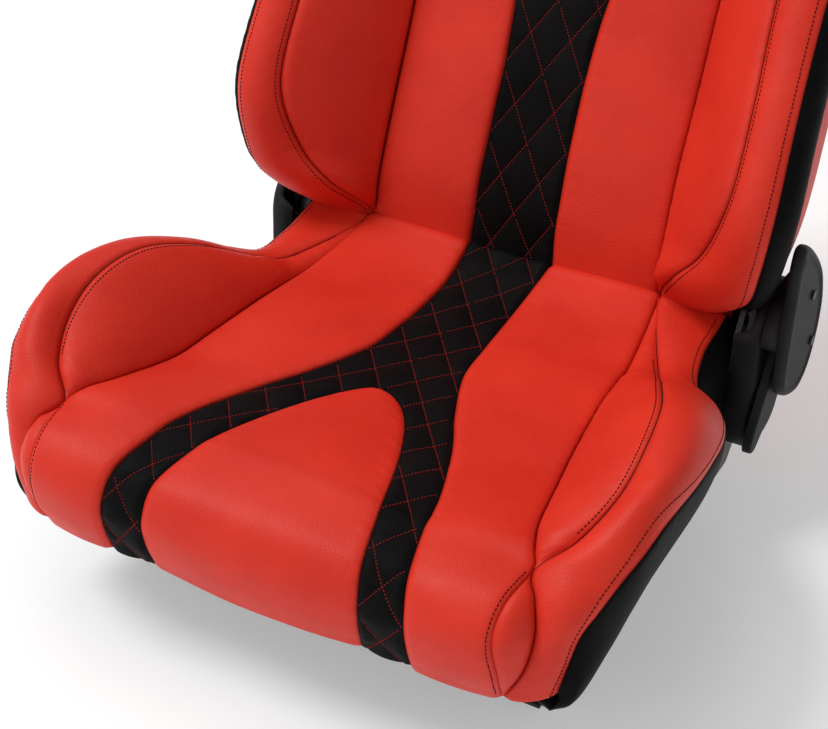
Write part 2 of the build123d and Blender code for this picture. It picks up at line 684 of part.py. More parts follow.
def write_recliner():
    save_pair("recliner_plate", recliner_plate())
    save_both("recliner_spacers", recliner_spacer())
    save_both("recliner_plate_bolts", plate_bolts())
    save_both("hinge_bushes", hinge_bush())
    save_both("bush_rings", bush_ring())
    save_both("pawl_pins", pawl_pin())
    save_pair("recline_pawl", pawl())
    save_both("clock_springs", clock_spring())
    save("recliner_housing_left", recliner_housing(True))
    save("recliner_housing_right", mirror(recliner_housing(False), about=Plane.YZ))
    save("recliner_shield", recliner_shield())
    save("shield_screws", shield_screws())
    save("release_rod", release_rod())
    save_both("release_cams", release_cam())
    save("recline_lever", recline_lever())
    save("lever_screw", lever_screw())


def write_slide_release():
    save("slide_release_bar", release_bar())
    save_pair("slide_latch", slide_latch())


def write_backrest():
    arm = lean_back(back_arm())
    save_pair("back_arm", arm)
    save("back_hoop", lean_back(back_hoop()))
    save("back_lower_tube", lean_back(back_cross_tube(66)))
    save("back_upper_tube", lean_back(back_cross_tube(400)))
    save("lumbar_springs", lean_back(lumbar_springs()))
    save("lumbar_clips", lean_back(lumbar_clips()))
    save("back_pad", lean_back(back_pad()))
    save_pair("back_bolster", lean_back(back_bolster()))
    save("head_pad", lean_back(head_pad()))
    save_both("harness_bezels", lean_back(harness_bezel()))
    save("rear_panel", lean_back(rear_panel()))
    save_pair("back_side_band", lean_back(back_side_band()))


os.makedirs("parts", exist_ok=True)
write_floor_rails()
write_seat_base()
write_recliner()
write_slide_release()
write_backrest()
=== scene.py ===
"""Looks of the reclining racing seat: panels, seams, quilting, covers and materials."""
import json
from math import cos, pi, radians, sin

import bmesh
import bpy
import numpy as np
from mathutils import Matrix, Vector


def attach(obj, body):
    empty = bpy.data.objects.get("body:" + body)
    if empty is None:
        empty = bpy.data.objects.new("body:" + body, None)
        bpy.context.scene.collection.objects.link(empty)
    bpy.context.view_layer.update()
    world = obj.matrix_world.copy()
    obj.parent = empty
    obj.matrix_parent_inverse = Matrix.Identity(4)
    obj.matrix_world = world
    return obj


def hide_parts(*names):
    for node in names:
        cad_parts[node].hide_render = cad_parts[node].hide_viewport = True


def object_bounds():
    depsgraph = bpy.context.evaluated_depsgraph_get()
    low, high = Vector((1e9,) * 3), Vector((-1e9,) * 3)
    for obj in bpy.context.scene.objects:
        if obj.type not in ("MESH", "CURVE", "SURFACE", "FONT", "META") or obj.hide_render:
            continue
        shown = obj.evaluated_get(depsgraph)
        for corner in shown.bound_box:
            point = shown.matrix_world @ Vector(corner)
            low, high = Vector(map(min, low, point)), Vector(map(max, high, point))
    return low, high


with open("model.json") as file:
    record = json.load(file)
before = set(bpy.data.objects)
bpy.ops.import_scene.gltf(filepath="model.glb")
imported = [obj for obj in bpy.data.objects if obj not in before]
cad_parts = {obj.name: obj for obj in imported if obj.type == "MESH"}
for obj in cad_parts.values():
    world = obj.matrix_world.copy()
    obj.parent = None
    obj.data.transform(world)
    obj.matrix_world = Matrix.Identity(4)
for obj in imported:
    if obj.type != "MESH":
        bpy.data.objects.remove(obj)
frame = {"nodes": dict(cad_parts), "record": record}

CAD_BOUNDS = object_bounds()
MM = 0.001
JOINTS = {joint["name"]: joint for joint in frame["record"]["behaviour"]["joints"]}
PIVOT_Y, PIVOT_Z = (value / MM for value in JOINTS["recline"]["pos_m"][1:])
LEAN = radians(23.75)                # backrest lean at rest
CELL = 4.0                           # mesh step of plain panels, mm
FINE = 2.0                           # mesh step of quilted panels, mm
DUST_CELL = 8.0                      # mesh step of the dust cloth, mm
SKIN = 1.6                           # cover thickness, mm
PLAIN_SEAM = 1.8                     # how far a plain seam sits below the panels beside it, mm
DEEP_SEAM = 3.0                      # the same in the creases beside the bolsters, mm
SEAT, BACK = "seat_base", "backrest"
SIDES = ((1, "left"), (-1, "right"))
rng = np.random.default_rng(11)


# Materials

def new_material(name):
    """An empty node material with its Principled node."""
    material = bpy.data.materials.new(name)
    material.use_nodes = True
    tree = material.node_tree
    return material, tree.nodes, tree.links, tree.nodes["Principled BSDF"]


def texture(nodes, links, kind, scale, **settings):
    """A procedural texture on object coordinates, in metres."""
    place = nodes.new("ShaderNodeTexCoord")
    node = nodes.new(kind)
    node.inputs["Scale"].default_value = scale
    for key, value in settings.items():
        node.inputs[key].default_value = value
    links.new(place.outputs["Object"], node.inputs["Vector"])
    return node


def ramp(nodes, links, source, low, high, start=0.3, end=0.7):
    """A colour that goes from low to high with a grey value."""
    node = nodes.new("ShaderNodeValToRGB")
    node.color_ramp.elements[0].position = start
    node.color_ramp.elements[1].position = end
    node.color_ramp.elements[0].color = (*low, 1)
    node.color_ramp.elements[1].color = (*high, 1)
    links.new(source, node.inputs["Fac"])
    return node.outputs["Color"]


def spread(nodes, links, source, low, high):
    """Maps a grey value onto a range of numbers."""
    node = nodes.new("ShaderNodeMapRange")
    node.inputs["To Min"].default_value = low
    node.inputs["To Max"].default_value = high
    links.new(source, node.inputs["Value"])
    return node.outputs["Result"]


def add_bump(nodes, links, shader, height, strength, distance):
    """Adds one bump layer in front of any that the shader has."""
    node = nodes.new("ShaderNodeBump")
    node.inputs["Strength"].default_value = strength
    node.inputs["Distance"].default_value = distance
    links.new(height, node.inputs["Height"])
    if shader.inputs["Normal"].links:
        links.new(shader.inputs["Normal"].links[0].from_socket, node.inputs["Normal"])
    links.new(node.outputs["Normal"], shader.inputs["Normal"])


def leather(name, dark, light, rough, shine):
    """Leatherette: fine pebble grain, soft creases, slight colour and sheen changes."""
    material, nodes, links, shader = new_material(name)
    tone = texture(nodes, links, "ShaderNodeTexNoise", 14, Detail=4)
    colour = ramp(nodes, links, tone.outputs["Fac"], dark, light)
    links.new(colour, shader.inputs["Base Color"])
    smudge = texture(nodes, links, "ShaderNodeTexNoise", 38, Detail=5)
    roughness = spread(nodes, links, smudge.outputs["Fac"], rough - 0.07, rough + 0.08)
    links.new(roughness, shader.inputs["Roughness"])
    shader.inputs["Specular IOR Level"].default_value = shine
    pebble = texture(nodes, links, "ShaderNodeTexVoronoi", 620)
    add_bump(nodes, links, shader, pebble.outputs["Distance"], 0.45, 0.0004)
    creases = texture(nodes, links, "ShaderNodeTexNoise", 120, Detail=3, Distortion=1.2)
    add_bump(nodes, links, shader, creases.outputs["Fac"], 0.2, 0.0008)
    return material


def plastic(name):
    """Moulded black plastic with spark-eroded grain and a painted highlight on its convex edges."""
    material, nodes, links, shader = new_material(name)
    tone = texture(nodes, links, "ShaderNodeTexNoise", 25, Detail=3)
    colour = ramp(nodes, links, tone.outputs["Fac"], (0.010, 0.010, 0.0104), (0.016, 0.016, 0.0164))
    # Painted highlight: a paler colour that the pointiness mask below lays on convex edges.
    edge_highlight_colour = (0.03, 0.03, 0.031, 1)
    shader.inputs["Specular IOR Level"].default_value = 0.13
    geometry = nodes.new("ShaderNodeNewGeometry")
    edge_highlight_mask = ramp(nodes, links, geometry.outputs["Pointiness"], (0, 0, 0), (1, 1, 1), 0.53, 0.62)
    mix = nodes.new("ShaderNodeMix")
    mix.data_type = "RGBA"
    links.new(edge_highlight_mask, mix.inputs[0])
    links.new(colour, mix.inputs[6])
    mix.inputs[7].default_value = edge_highlight_colour
    links.new(mix.outputs[2], shader.inputs["Base Color"])
    grain = texture(nodes, links, "ShaderNodeTexNoise", 900, Detail=2)
    links.new(spread(nodes, links, grain.outputs["Fac"], 0.42, 0.62), shader.inputs["Roughness"])
    add_bump(nodes, links, shader, grain.outputs["Fac"], 0.45, 0.0004)
    return material


def metal(name, low, high, metallic, rough, grain):
    """Steel with a fine finish, in a coat or bare."""
    material, nodes, links, shader = new_material(name)
    tone = texture(nodes, links, "ShaderNodeTexNoise", 30, Detail=5)
    links.new(ramp(nodes, links, tone.outputs["Fac"], low, high), shader.inputs["Base Color"])
    shader.inputs["Metallic"].default_value = metallic
    fine = texture(nodes, links, "ShaderNodeTexNoise", grain, Detail=3)
    roughness = spread(nodes, links, fine.outputs["Fac"], rough - 0.1, rough + 0.1)
    links.new(roughness, shader.inputs["Roughness"])
    add_bump(nodes, links, shader, fine.outputs["Fac"], 0.15, 0.0002)
    return material


def thread(name, low, high):
    """Twisted sewing thread."""
    material, nodes, links, shader = new_material(name)
    twist = texture(nodes, links, "ShaderNodeTexWave", 900, Distortion=2.0)
    links.new(ramp(nodes, links, twist.outputs["Fac"], low, high), shader.inputs["Base Color"])
    shader.inputs["Roughness"].default_value = 0.8
    shader.inputs["Specular IOR Level"].default_value = 0.1
    add_bump(nodes, links, shader, twist.outputs["Fac"], 0.4, 0.0002)
    return material


def woven(name, low, high):
    """Plain woven dust cloth."""
    material, nodes, links, shader = new_material(name)
    weave = texture(nodes, links, "ShaderNodeTexChecker", 700)
    links.new(ramp(nodes, links, weave.outputs["Fac"], low, high), shader.inputs["Base Color"])
    shader.inputs["Roughness"].default_value = 0.9
    add_bump(nodes, links, shader, weave.outputs["Fac"], 0.5, 0.0003)
    return material


RED = leather("red_leatherette", (0.585, 0.022, 0.0095), (0.675, 0.031, 0.0135), 0.49, 0.22)
BLACK = leather("black_leatherette", (0.0035, 0.0032, 0.0034), (0.0065, 0.0060, 0.0063), 0.55, 0.035)
PLASTIC = plastic("moulded_plastic")
COATED = metal("coated_steel", (0.012, 0.012, 0.013), (0.022, 0.022, 0.023), 0.0, 0.42, 400)
ZINC = metal("zinc_steel", (0.42, 0.42, 0.40), (0.56, 0.56, 0.55), 1.0, 0.36, 300)
SPRING = metal("spring_wire", (0.10, 0.10, 0.11), (0.17, 0.17, 0.18), 1.0, 0.34, 500)
DARK_THREAD_AND_SEAM_SHADE = thread("dark_thread_and_seam_shade", (0.010, 0.003, 0.003), (0.030, 0.006, 0.005))
RED_THREAD = thread("red_thread", (0.26, 0.010, 0.008), (0.48, 0.022, 0.016))
CLOTH = woven("dust_cloth", (0.010, 0.010, 0.011), (0.022, 0.022, 0.023))
# Threads count as red leatherette and the dust cloth as black, because the record has no slot for them.
BY_SLOT = {"coated_steel": COATED, "zinc_steel": ZINC, "spring_wire": SPRING, "moulded_plastic": PLASTIC,
           "red_leatherette": RED, "black_leatherette": BLACK}
SLOT_OF = {material.name: slot for slot, material in BY_SLOT.items()}
SLOT_OF.update({DARK_THREAD_AND_SEAM_SHADE.name: "red_leatherette", RED_THREAD.name: "red_leatherette",
                CLOTH.name: "black_leatherette"})


# Curves and panels. A rail is a smooth curve through stations; a panel spans two rails.

def smooth(stations, at):
    """Catmull-Rom curve through stations, at parameters counted in stations."""
    points = np.array(stations, float)
    last = len(points) - 1
    padded = np.vstack([2 * points[0] - points[1], points, 2 * points[-1] - points[-2]])
    index = np.clip(np.floor(at).astype(int), 0, last - 1)
    f = (at - index)[:, None]
    p0, p1, p2, p3 = (padded[index + k] for k in range(4))
    return 0.5 * (2 * p1 + (p2 - p0) * f + (2 * p0 - 5 * p1 + 4 * p2 - p3) * f ** 2
                  + (3 * p1 - p0 - 3 * p2 + p3) * f ** 3)


def lengths(path):
    """Distance along a path of points."""
    return np.concatenate([[0], np.cumsum(np.linalg.norm(np.diff(path, axis=0), axis=1))])


def even_stations(stations, first, last, step):
    """Parameters between two stations, evenly spaced along the curve."""
    dense = np.linspace(first, last, 1200)
    run = lengths(smooth(stations, dense))
    count = max(4, int(run[-1] / step) + 1)
    return np.interp(np.linspace(0, run[-1], count), run, dense), np.linspace(0, run[-1], count)


def grid_normals(grid):
    """Unit normals of a grid of points."""
    normal = np.cross(np.gradient(grid, axis=1), np.gradient(grid, axis=0))
    size = np.linalg.norm(normal, axis=2, keepdims=True)
    return normal / np.maximum(size, 1e-9)


NARROW = 20.0                        # below this width a panel flattens, mm
FULL_WIDTH = 45.0                    # from this width a panel may bulge fully, mm
SEWN_DEPTH = 1.5                     # a rail at least this deep is held down all along, mm
SEAM_WIDTH = 3.0                     # how far the valley of a seam reaches into a panel, mm
GATHER_PLACE, GATHER_WIDTH = 7.0, 6.0     # distance of the gathers from the rail and their reach, mm
FLAT_EDGE = 5.0                      # strip beside a held rail where creases and quilting die out, mm


class Panel:
    """A grid of points between two rails, pushed out along its normals, away from the core point.

    The crown is how far the middle bulges, and roundness limits it to a share of the width. A groove
    is how deep each rail lies below the panel. Pucker is the height of the gathers along a sewn rail.
    """

    def __init__(self, low, high, run, step, core, crown=0.0, groove=(PLAIN_SEAM, PLAIN_SEAM), pucker=0.2,
                 relief=None, roundness=0.2):
        width = np.linalg.norm(high - low, axis=1)
        count = max(4, int(width.max() / step) + 1)
        share = np.linspace(0, 1, count)
        flat = low[:, None] + (high - low)[:, None] * share[None, :, None]
        normal = grid_normals(flat)
        away = flat.reshape(-1, 3).mean(axis=0) - np.array(core)
        if (normal.reshape(-1, 3).mean(axis=0) * away).sum() < 0:
            normal = -normal
        from_low = share[None, :] * width[:, None]
        from_high = width[:, None] - from_low
        depths = [np.broadcast_to(np.asarray(depth, float), (len(low),))[:, None] for depth in groove]
        fade = np.clip(width[:, None] / NARROW, 0, 1)
        waves = np.sin(run[:, None] / 2.1) + 0.6 * np.sin(run[:, None] / 3.4 + 1.3)
        puff = np.maximum(*depths) * fade
        gathers = np.zeros_like(from_low)
        hold = np.ones_like(from_low)
        for distance, depth in zip((from_low, from_high), depths):
            held = np.clip(depth / SEWN_DEPTH, 0, 1)
            puff = puff * (1 - held * np.exp(-(distance / SEAM_WIDTH) ** 1.5))
            near = np.exp(-((distance - GATHER_PLACE) / GATHER_WIDTH) ** 2)
            gathers += pucker * fade * waves * held * near
            hold *= 1 - held * (1 - np.clip(distance / FLAT_EDGE, 0, 1))
        limit = width * roundness * np.clip(width / FULL_WIDTH, 0.35, 1)
        push = 4 * share * (1 - share) * np.minimum(crown, limit)[:, None] + puff
        push += (gathers + soft_creases(flat)) * hold
        if relief is not None:
            push += relief(flat, run[:, None] + 0 * from_low) * hold
        on_centre = (np.abs(low[:, 0]) < 1e-6) & (depths[0][:, 0] == 0)
        normal[on_centre, 0, 0] = 0
        self.run, self.width, self.share = run, width, share
        self.grid = flat + normal * push[..., None]
        self.normal = normal
        self.flipped = (np.cross(np.gradient(flat, axis=1), np.gradient(flat, axis=0)) * normal).sum() < 0

    def at(self, row, share):
        """Surface points and normals at fractional rows and shares of the width."""
        rows = np.clip(row, 0, len(self.run) - 1.001)
        columns = np.clip(share, 0, 1) * (len(self.share) - 1)
        columns = np.minimum(columns, len(self.share) - 1.001)
        r, c = rows.astype(int), columns.astype(int)
        fr, fc = (rows - r)[:, None], (columns - c)[:, None]

        def blend(values):
            near = values[r, c] * (1 - fc) + values[r, c + 1] * fc
            far = values[r + 1, c] * (1 - fc) + values[r + 1, c + 1] * fc
            return near * (1 - fr) + far * fr
        return blend(self.grid), blend(self.normal)


def soft_creases(points):
    """Gentle unevenness of leatherette pulled over foam, in mm."""
    x, y, z = points[..., 0], points[..., 1], points[..., 2]
    slow = np.sin(x / 41 + 1.7 * np.sin(y / 63)) * np.sin(y / 37 + z / 51 + 0.8)
    quick = np.sin((x + 0.7 * y) / 13 + 2 * np.sin(z / 29 + y / 47)) * np.sin((y - 0.4 * z) / 17)
    return 0.55 * slow + 0.16 * quick


def lean(points):
    """Moves points from the upright pivot frame of the backrest to their place."""
    x, y, z = points[..., 0], points[..., 1], points[..., 2]
    back = PIVOT_Y + y * cos(LEAN) + z * sin(LEAN)
    up = PIVOT_Z + z * cos(LEAN) - y * sin(LEAN)
    return np.stack([x, back, up], axis=-1)


def place(points, where, side):
    """Mirrors points to one side and moves them into the frame, in mm."""
    moved = points * np.array([side, 1, 1])
    return where(moved) if where else moved


def add_mesh(name, vertices, faces, material, body):
    """A smooth mesh object, from mm, that rides on a body."""
    mesh = bpy.data.meshes.new(name)
    mesh.from_pydata((np.asarray(vertices) * MM).tolist(), [], faces)
    mesh.materials.append(material)
    mesh.polygons.foreach_set("use_smooth", [True] * len(mesh.polygons))
    mesh.validate()
    piece = bpy.data.objects.new(name, mesh)
    bpy.context.collection.objects.link(piece)
    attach(piece, body)
    return piece


def grid_faces(rows, columns, flip):
    """Quads of a grid of vertices."""
    faces = []
    for r in range(rows - 1):
        for c in range(columns - 1):
            a = r * columns + c
            quad = (a, a + 1, a + columns + 1, a + columns)
            faces.append(quad[::-1] if flip else quad)
    return faces


def add_skin(piece):
    """Gives a cover its thickness, inwards."""
    skin = piece.modifiers.new("skin", "SOLIDIFY")
    skin.thickness = SKIN * MM
    skin.offset = -1


def cover(name, panel, material, body, where=None, side=1, replaces=()):
    """Turns a panel into a cover with thickness."""
    rows, columns = panel.grid.shape[:2]
    points = place(panel.grid, where, side).reshape(-1, 3)
    flip = bool(panel.flipped) ^ (side < 0)
    piece = add_mesh(name, points, grid_faces(rows, columns, flip), material, body)
    add_skin(piece)
    if replaces:
        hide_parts(*replaces)


def halves_cover(name, panels, material, body, where=None, replaces=()):
    """Left and right panels of one piece, welded where they meet on the centre line."""
    points, faces = [], []
    for panel, (side, _) in zip(panels, SIDES):
        rows, columns = panel.grid.shape[:2]
        flip = bool(panel.flipped) ^ (side < 0)
        base = len(points) * rows * columns
        points.append(place(panel.grid, where, side).reshape(-1, 3))
        faces += [tuple(base + v for v in face) for face in grid_faces(rows, columns, flip)]
    piece = add_mesh(name, np.vstack(points), faces, material, body)
    shape = bmesh.new()
    shape.from_mesh(piece.data)
    bmesh.ops.remove_doubles(shape, verts=shape.verts, dist=0.02 * MM)
    shape.to_mesh(piece.data)
    shape.free()
    add_skin(piece)
    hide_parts(*replaces)


# Stitches

# Along a stitch: share of its length, thickness and lift in radii. Both ends dive into the cover.
STITCH_RINGS = ((0.0, 0.35, -0.75), (0.16, 0.95, 0.0), (0.5, 1.05, 0.22), (0.84, 0.95, 0.0),
                (1.0, 0.35, -0.75))
THREAD_SIDES = 5
STITCH_JITTER = 0.12                 # spread of the start of each stitch, mm


def stitch_mesh(points, normals, length, gap, radius):
    """Vertices and faces of short threads laid end to end along a path."""
    run = lengths(points)
    pitch = length + gap
    count = int((run[-1] - length) / pitch)
    if count < 1:
        return np.zeros((0, 3)), []
    starts = np.arange(count) * pitch + gap / 2 + rng.normal(0, STITCH_JITTER, count)
    sides, rings = THREAD_SIDES, STITCH_RINGS
    vertices, faces = [], []
    for start in starts:
        base = len(vertices)
        spots = start + length * np.array([ring[0] for ring in rings])
        centre = np.stack([np.interp(spots, run, points[:, k]) for k in range(3)], axis=1)
        up = np.array([np.interp(start + length / 2, run, normals[:, k]) for k in range(3)])
        up /= max(np.linalg.norm(up), 1e-9)
        along = centre[-1] - centre[0]
        along /= max(np.linalg.norm(along), 1e-9)
        across = np.cross(along, up)
        for (_, size, lift), middle in zip(rings, centre):
            middle = middle + up * radius * (0.55 + lift)
            for k in range(sides):
                turn = 2 * pi * k / sides
                vertices.append(middle + radius * size * (cos(turn) * across + sin(turn) * up))
        for ring in range(len(rings) - 1):
            for k in range(sides):
                a, b = base + ring * sides + k, base + ring * sides + (k + 1) % sides
                faces.append((a, b, b + sides, a + sides))
        faces.append(tuple(base + k for k in range(sides))[::-1])
        faces.append(tuple(base + (len(rings) - 1) * sides + k for k in range(sides)))
    return np.array(vertices), faces


class Thread:
    """Collects stitches of one colour on one body, with any dark lines of painted seam shade, into one
    piece.
    """

    def __init__(self, name, material, body, where=None):
        self.name, self.material, self.body, self.where = name, material, body, where
        self.vertices, self.faces = [], []

    def sew(self, points, normals, side=1, length=2.6, gap=0.9, radius=0.42):
        """A row of stitches along a path, mirrored to one side."""
        vertices, faces = stitch_mesh(points, normals, length, gap, radius)
        if not len(faces):
            return
        base = sum(len(block) for block in self.vertices)
        self.vertices.append(place(vertices, self.where, side))
        order = -1 if side < 0 else 1
        self.faces += [tuple(base + v for v in face)[::order] for face in faces]

    def seam(self, panel, inset, from_high=False, first=0.0, last=1.0):
        """A row of stitches beside one edge of a panel."""
        rows = np.linspace(first, last, 700) * (len(panel.run) - 1)
        width = np.interp(rows, np.arange(len(panel.run)), panel.width)
        share = inset / np.maximum(width, inset * 2)
        points, normals = panel.at(rows, 1 - share if from_high else share)
        for side, _ in SIDES:
            self.sew(points, normals, side)

    def seam_shade_line(self, points, normals, radius=0.4):
        """A continuous dark line lying in a seam: painted shade that stands for the shadow in the seam's
        valley.
        """
        along = np.gradient(points, axis=0)
        along /= np.linalg.norm(along, axis=1, keepdims=True)
        across = np.cross(along, normals)
        around = THREAD_SIDES
        turns = [2 * pi * k / around for k in range(around)]
        rings = [points + radius * (cos(turn) * across + sin(turn) * normals) for turn in turns]
        rings = np.stack(rings, axis=1)
        count = around * len(points)
        faces = [tuple(range(around)), tuple(range(count - around, count))[::-1]]
        for start in range(0, count - around, around):
            for k in range(around):
                a, b = start + k, start + (k + 1) % around
                faces.append((a, a + around, b + around, b))
        for side, _ in SIDES:
            base = sum(len(block) for block in self.vertices)
            self.vertices.append(place(rings.reshape(-1, 3), self.where, side))
            self.faces += [tuple(base + v for v in face)[::side] for face in faces]

    def edge_seam_shade_line(self, panel, from_high=True, first=0.0, last=1.0):
        """A dark line of painted seam shade along one edge of a panel."""
        rows = np.linspace(first, last, 260) * (len(panel.run) - 1)
        points, normals = panel.at(rows, np.full(len(rows), 1.0 if from_high else 0.0))
        self.seam_shade_line(points, normals)

    def finish(self):
        """Adds the collected stitches as one piece."""
        add_mesh(self.name, np.vstack(self.vertices), self.faces, self.material, self.body)


QUILT_LINES = 14                     # quilt lines tried on each side of the centre


class Quilt:
    """A diamond pattern: lines where across/width plus or minus run/height is whole."""

    def __init__(self, width, height, shift, start, depth=3.0):
        self.width, self.height, self.shift, self.start, self.depth = width, height, shift, start, depth

    def relief(self, side):
        """Pillows between the lines, for one half of the insert."""
        def push(flat, run):
            a = (side * flat[..., 0] - self.shift) / self.width
            b = (run - self.start) / self.height
            pillow = np.abs(np.sin(pi * (a + b)) * np.sin(pi * (a - b))) ** 0.55
            return self.depth * (pillow - 0.45)
        return push

    def sew(self, panel, side, stitches, low_at, high_at):
        """Red stitches on the lines that cross one half of the insert."""
        run = np.arange(0, panel.run[-1], 0.8)
        rows = np.interp(run, panel.run, np.arange(len(panel.run)))
        low, high = np.interp(run, panel.run, low_at), np.interp(run, panel.run, high_at)
        b = (run - self.start) / self.height
        for slope in (1, -1):
            for line in range(-QUILT_LINES, QUILT_LINES + 1):
                across = side * (self.shift + self.width * (line + slope * b))
                for part in runs_of((across > low + np.where(low > 0, 0.8, -0.6)) & (across < high - 1.0)):
                    share = (across[part] - low[part]) / np.maximum(high[part] - low[part], 1e-6)
                    points, normals = panel.at(rows[part], share)
                    stitches.sew(points, normals, side, length=1.7, gap=1.2, radius=0.38)


def runs_of(mask):
    """Slices of the stretches where a mask holds."""
    edges = np.flatnonzero(np.diff(np.concatenate([[0], mask.astype(int), [0]])))
    return [slice(a, b) for a, b in zip(edges[::2], edges[1::2]) if b - a > 5]


# Seat base. Stations run from the front lower edge, over the cushion, to its rear lower edge.

BASE_CENTRE = [(0, -261, 101), (0, -269, 127), (0, -270, 153), (0, -255, 179), (0, -214, 190),
               (0, -195, 191), (0, -165, 189), (0, -109, 184), (0, -62, 181), (0, -7, 179),
               (0, 40, 178), (0, 71, 178), (0, 115, 181), (0, 152, 190), (0, 169, 195), (0, 166, 182),
               (0, 168, 150), (0, 172, 112)]
INSERT_HALF = [138, 138, 137, 132, 122, 119, 111, 90, 67, 46, 41, 39, 38, 40, 42, 42, 42, 42]
BASE_CREASE = [(210, -251, 96), (212, -265, 127), (208, -269, 163), (209, -250, 185), (213, -214, 190),
               (206, -198, 195), (194, -166, 191), (182, -109, 181), (175, -62, 183), (169, -7, 184),
               (165, 40, 182), (163, 71, 180), (157, 118, 185), (152, 155, 193), (150, 170, 196),
               (150, 167, 182), (150, 169, 150), (150, 172, 112)]
BASE_CREST = [(211, -251, 96), (226, -251, 130), (230, -245, 160), (224, -234, 181), (213, -214, 190),
              (236, -190, 209), (250, -153, 230), (251, -110, 247), (242, -60, 249), (222, -8, 231),
              (203, 42, 199), (189, 74, 184), (168, 118, 187), (152.5, 155, 193), (150.5, 170, 196),
              (150.5, 167, 182), (150.5, 169, 150), (150.5, 172, 112)]
BASE_EDGE = [(247, -236, 104), (254, -233, 137), (259, -229, 159), (269, -220, 181), (278, -203, 200),
             (285, -186, 213), (289, -155, 222), (290, -105, 219), (286, -58, 210), (277, -5, 195),
             (260, 38, 185), (226, 73, 178), (214, 112, 186), (213, 150, 192), (213, 170, 196),
             (213, 167, 182), (213, 169, 150), (213, 172, 112)]
BASE_FOOT = [(240, -236, 84), (247, -222, 80), (249, -208, 78), (247, -190, 77), (243, -170, 76),
             (238, -145, 75), (234, -110, 74), (232, -70, 73), (231, -30, 72), (229, 0, 70),
             (226, 34, 70), (219, 72, 76), (217.5, 112, 90), (217.5, 155, 92), (217.5, 188, 94)]
BASE_BULGE = [5, 6, 7, 9, 12, 15, 18, 18, 16, 12, 8, 6, 4, 3, 2, 2, 2, 2]
BASE_REAR = 12                       # from this station on, the cushion's rear has no tongue
ISLAND_TIP_Y = -63
ISLAND_SPREAD = 6.8                  # half width of the tongue is this times the root of its distance
TONGUE_TIP_HALF = 0.5                # a tongue starts where its half width passes this, mm
TONGUE_SEAM_FROM = 8.0               # half width from which a tongue's seam has its full depth, mm
BASE_CORE = (205, -60, 130)
BASE_QUILT = Quilt(40, 52, -4, 20)


def base_rows(first, last, step):
    """Station parameters and distances along the cushion's centre line."""
    return even_stations(BASE_CENTRE, first, last, step)


def base_half(at):
    """Half widths of the tongue and the insert at station parameters."""
    y = smooth(BASE_CENTRE, at)[:, 1]
    tongue = ISLAND_SPREAD * np.sqrt(np.maximum(ISLAND_TIP_Y - y, 0))
    tongue = np.where(at > BASE_REAR, 0, tongue)
    insert = smooth([(half,) for half in INSERT_HALF], at)[:, 0]
    return tongue, insert


def at_half(stations, at, half):
    """Points beside the centre line, at a half width."""
    points = smooth(stations, at)
    return np.stack([half, points[:, 1], points[:, 2]], axis=1)


def build_base_centre(dark, red):
    """Tongue, quilted insert and the two plain seat panels."""
    at, run = base_rows(0, 17, FINE)
    tongue, insert = base_half(at)
    rails = [at_half(BASE_CENTRE, at, half) for half in (tongue, insert)]
    groove = (PLAIN_SEAM * np.clip(tongue / TONGUE_SEAM_FROM, 0, 1), PLAIN_SEAM)
    halves = [Panel(*rails, run, FINE, (80, -50, 60), groove=groove, relief=BASE_QUILT.relief(side))
              for side, _ in SIDES]
    halves_cover("base_insert", halves, BLACK, SEAT, replaces=("base_pad",))
    for panel, (side, _) in zip(halves, SIDES):
        BASE_QUILT.sew(panel, side, red, tongue, insert)
    tip_rows = np.flatnonzero(tongue > TONGUE_TIP_HALF)
    keep = slice(0, tip_rows[-1] + 1)
    low = at_half(BASE_CENTRE, at[keep], -tongue[keep])
    high = at_half(BASE_CENTRE, at[keep], tongue[keep])
    panel = Panel(low, high, run[keep], CELL / 1.5, (0, -160, 60), crown=5.0)
    cover("base_tongue", panel, RED, SEAT)
    at, run = base_rows(0, 17, CELL)
    _, insert = base_half(at)
    panel = Panel(at_half(BASE_CENTRE, at, insert), smooth(BASE_CREASE, at), run, CELL, (150, -50, 60),
                  crown=3.0, groove=(PLAIN_SEAM, DEEP_SEAM))
    dark.seam(panel, 3.5, from_high=True, first=0.01, last=0.21)
    for side, label in SIDES:
        cover(f"base_seat_panel_{label}", panel, RED, SEAT, side=side)


def build_base_bolsters(dark):
    """Inner bolster faces, rolled bands, waists and black sides."""
    at, run = even_stations(BASE_CREST, 0, 17, CELL)
    crease, crest, edge = (smooth(rail, at) for rail in (BASE_CREASE, BASE_CREST, BASE_EDGE))
    inner = Panel(crease, crest, run, CELL, BASE_CORE, crown=7.0, groove=(2.0, PLAIN_SEAM))
    bulge = smooth([(height,) for height in BASE_BULGE], at)[:, 0]
    band = Panel(crest, edge, run, CELL, BASE_CORE, crown=bulge, roundness=0.5)
    side_at, side_run = even_stations(BASE_EDGE, 0, 14, CELL)
    flank = Panel(smooth(BASE_EDGE, side_at), smooth(BASE_FOOT, side_at), side_run, CELL, (150, -60, 130),
                  crown=10.0, groove=(1.5, 0))
    dark.seam(inner, 4.0, from_high=True, first=0.25, last=0.74)
    # Painted shade: the dark lines along the crest and edge seams stand for the shadow in their valleys.
    dark.edge_seam_shade_line(inner, first=0.02, last=0.80)
    dark.seam(band, 5.5, from_high=True, first=0.0, last=0.86)
    dark.edge_seam_shade_line(band, first=0.0, last=0.90)
    for side, label in SIDES:
        cover(f"base_bolster_inner_{label}", inner, RED, SEAT, side=side,
              replaces=(f"base_bolster_{label}", f"base_waist_{label}"))
        cover(f"base_bolster_band_{label}", band, RED, SEAT, side=side)
        cover(f"base_flank_{label}", flank, BLACK, SEAT, side=side,
              replaces=(f"base_side_panel_{label}", "waist_side_panels"))


